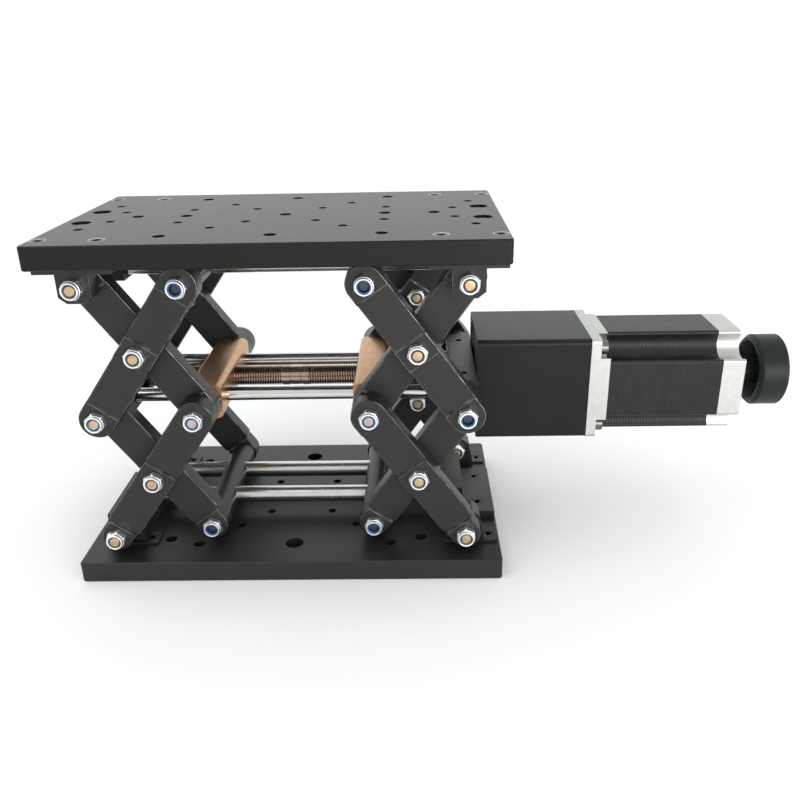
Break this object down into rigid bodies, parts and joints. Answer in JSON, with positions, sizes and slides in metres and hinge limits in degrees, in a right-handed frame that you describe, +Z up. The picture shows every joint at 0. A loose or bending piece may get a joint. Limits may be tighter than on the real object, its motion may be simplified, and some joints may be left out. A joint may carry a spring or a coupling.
{
  "type": "motorised lab jack",
  "caption": "Motor-driven scissor lifting platform for lab instruments: two plates, double scissor arms, a lead screw with guide rods, and a stepper motor with a hand knob.",
  "frame": {"origin": "centre of the base plate's underside", "axes": "+X towards the motor, +Y towards the back, +Z up through the platform"},
  "size_m": [0.4084, 0.15, 0.1935],
  "materials": {
    "black_anodised": "satin black anodised",
    "ground_rod": "ground and polished",
    "zinc_fastener": "zinc plated",
    "black_screw": "black oxide",
    "bronze": "machined bronze",
    "screw_steel": "bright turned steel",
    "bright_aluminium": "bright machined",
    "motor_black": "black laminated stack",
    "knob_plastic": "moulded black plastic"
  },
  "bodies": {
    "base": {"base_plate": "black_anodised", "base_brackets_left": "black_anodised", "base_brackets_right": "black_anodised", "base_rods": "ground_rod", "base_rod_supports": "black_anodised", "base_pivot_bolts": "zinc_fastener", "base_screws": "black_screw"},
    "platform": {"top_plate": "black_anodised", "top_brackets_left": "black_anodised", "top_brackets_right": "black_anodised", "top_rods": "ground_rod", "top_rod_supports": "black_anodised", "top_pivot_bolts": "zinc_fastener", "top_screws": "black_screw"},
    "middle_frame": {"mid_end_block_left": "black_anodised", "mid_end_block_right": "black_anodised", "mid_rods": "ground_rod", "mid_pivot_studs": "zinc_fastener", "screw_bearings": "screw_steel", "coupling_housing": "black_anodised", "motor_flange": "bright_aluminium", "motor_stator": "motor_black", "motor_rear_cap": "bright_aluminium", "motor_screws": "black_screw"},
    "drive": {"lead_screw": "screw_steel", "shaft_coupling": "bright_aluminium", "motor_rotor": "screw_steel", "handwheel": "knob_plastic"},
    "left_lower_outer": {"arm_left_lower_outer_front": "black_anodised", "arm_left_lower_outer_rear": "black_anodised", "lower_centre_bolts_left": "zinc_fastener"},
    "left_lower_inner": {"arm_left_lower_inner_front": "black_anodised", "arm_left_lower_inner_rear": "black_anodised"},
    "left_upper_inner": {"arm_left_upper_inner_front": "black_anodised", "arm_left_upper_inner_rear": "black_anodised", "upper_centre_bolts_left": "zinc_fastener"},
    "left_upper_outer": {"arm_left_upper_outer_front": "black_anodised", "arm_left_upper_outer_rear": "black_anodised"},
    "left_nut_carriage": {"nut_block_left": "bronze", "nut_block_studs_left": "zinc_fastener"},
    "left_base_carriage": {"base_slider_left": "black_anodised", "base_slider_studs_left": "zinc_fastener"},
    "left_top_carriage": {"top_slider_left": "black_anodised", "top_slider_studs_left": "zinc_fastener"},
    "right_lower_outer": {"arm_right_lower_outer_front": "black_anodised", "arm_right_lower_outer_rear": "black_anodised", "lower_centre_bolts_right": "zinc_fastener"},
    "right_lower_inner": {"arm_right_lower_inner_front": "black_anodised", "arm_right_lower_inner_rear": "black_anodised"},
    "right_upper_inner": {"arm_right_upper_inner_front": "black_anodised", "arm_right_upper_inner_rear": "black_anodised", "upper_centre_bolts_right": "zinc_fastener"},
    "right_upper_outer": {"arm_right_upper_outer_front": "black_anodised", "arm_right_upper_outer_rear": "black_anodised"},
    "right_nut_carriage": {"nut_block_right": "bronze", "nut_block_studs_right": "zinc_fastener"},
    "right_base_carriage": {"base_slider_right": "black_anodised", "base_slider_studs_right": "zinc_fastener"},
    "right_top_carriage": {"top_slider_right": "black_anodised", "top_slider_studs_right": "zinc_fastener"}
  },
  "joints": [
    {"name": "lift", "type": "hinge", "parent": "base", "child": "left_lower_outer", "pos_m": [-0.0995, 0, 0.0237], "axis": [0, -1, 0], "range_deg": [-38.58, 10.33]},
    {"name": "left_lower_centre_pivot", "type": "hinge", "parent": "left_lower_outer", "child": "left_lower_inner", "pos_m": [-0.07321, 0, 0.06023], "axis": [0, -1, 0], "range_deg": [-20.66, 77.16]},
    {"name": "left_nut_pivot", "type": "hinge", "parent": "left_lower_outer", "child": "left_upper_inner", "pos_m": [-0.04693, 0, 0.09675], "axis": [0, -1, 0], "range_deg": [-20.66, 77.16]},
    {"name": "left_upper_centre_pivot", "type": "hinge", "parent": "left_upper_inner", "child": "left_upper_outer", "pos_m": [-0.07321, 0, 0.13328], "axis": [0, -1, 0], "range_deg": [-77.16, 20.66]},
    {"name": "left_nut_block_pivot", "type": "hinge", "parent": "left_lower_outer", "child": "left_nut_carriage", "pos_m": [-0.04693, 0, 0.09675], "axis": [0, -1, 0], "range_deg": [-10.33, 38.58]},
    {"name": "left_base_slider_pivot", "type": "hinge", "parent": "left_lower_inner", "child": "left_base_carriage", "pos_m": [-0.04693, 0, 0.0237], "axis": [0, -1, 0], "range_deg": [-38.58, 10.33]},
    {"name": "left_top_slider_pivot", "type": "hinge", "parent": "left_upper_outer", "child": "left_top_carriage", "pos_m": [-0.04693, 0, 0.1698], "axis": [0, -1, 0], "range_deg": [-10.33, 38.58]},
    {"name": "right_base_pivot", "type": "hinge", "parent": "base", "child": "right_lower_outer", "pos_m": [0.0995, 0, 0.0237], "axis": [0, -1, 0], "range_deg": [-10.33, 38.58]},
    {"name": "right_lower_centre_pivot", "type": "hinge", "parent": "right_lower_outer", "child": "right_lower_inner", "pos_m": [0.07321, 0, 0.06023], "axis": [0, -1, 0], "range_deg": [-77.16, 20.66]},
    {"name": "right_nut_pivot", "type": "hinge", "parent": "right_lower_outer", "child": "right_upper_inner", "pos_m": [0.04693, 0, 0.09675], "axis": [0, -1, 0], "range_deg": [-77.16, 20.66]},
    {"name": "right_upper_centre_pivot", "type": "hinge", "parent": "right_upper_inner", "child": "right_upper_outer", "pos_m": [0.07321, 0, 0.13328], "axis": [0, -1, 0], "range_deg": [-20.66, 77.16]},
    {"name": "right_nut_block_pivot", "type": "hinge", "parent": "right_lower_outer", "child": "right_nut_carriage", "pos_m": [0.04693, 0, 0.09675], "axis": [0, -1, 0], "range_deg": [-38.58, 10.33]},
    {"name": "right_base_slider_pivot", "type": "hinge", "parent": "right_lower_inner", "child": "right_base_carriage", "pos_m": [0.04693, 0, 0.0237], "axis": [0, -1, 0], "range_deg": [-10.33, 38.58]},
    {"name": "right_top_slider_pivot", "type": "hinge", "parent": "right_upper_outer", "child": "right_top_carriage", "pos_m": [0.04693, 0, 0.1698], "axis": [0, -1, 0], "range_deg": [-38.58, 10.33]},
    {"name": "middle_frame_pivot", "type": "hinge", "parent": "left_lower_inner", "child": "middle_frame", "pos_m": [-0.0995, 0, 0.09675], "axis": [0, -1, 0], "range_deg": [-38.58, 10.33]},
    {"name": "platform_pivot", "type": "hinge", "parent": "left_upper_inner", "child": "platform", "pos_m": [-0.0995, 0, 0.1698], "axis": [0, -1, 0], "range_deg": [-38.58, 10.33]},
    {"name": "screw_spin", "type": "hinge", "parent": "middle_frame", "child": "drive", "pos_m": [0, 0, 0.09675], "axis": [1, 0, 0], "continuous": true}
  ],
  "couplings": [
    {"joint": "left_lower_centre_pivot", "follows": "lift", "ratio": -2},
    {"joint": "left_nut_pivot", "follows": "lift", "ratio": -2},
    {"joint": "left_upper_centre_pivot", "follows": "lift", "ratio": 2},
    {"joint": "left_nut_block_pivot", "follows": "lift", "ratio": -1},
    {"joint": "left_base_slider_pivot", "follows": "lift", "ratio": 1},
    {"joint": "left_top_slider_pivot", "follows": "lift", "ratio": -1},
    {"joint": "right_base_pivot", "follows": "lift", "ratio": -1},
    {"joint": "right_lower_centre_pivot", "follows": "lift", "ratio": 2},
    {"joint": "right_nut_pivot", "follows": "lift", "ratio": 2},
    {"joint": "right_upper_centre_pivot", "follows": "lift", "ratio": -2},
    {"joint": "right_nut_block_pivot", "follows": "lift", "ratio": 1},
    {"joint": "right_base_slider_pivot", "follows": "lift", "ratio": -1},
    {"joint": "right_top_slider_pivot", "follows": "lift", "ratio": 1},
    {"joint": "middle_frame_pivot", "follows": "lift", "ratio": 1},
    {"joint": "platform_pivot", "follows": "lift", "ratio": 1}
  ]
}
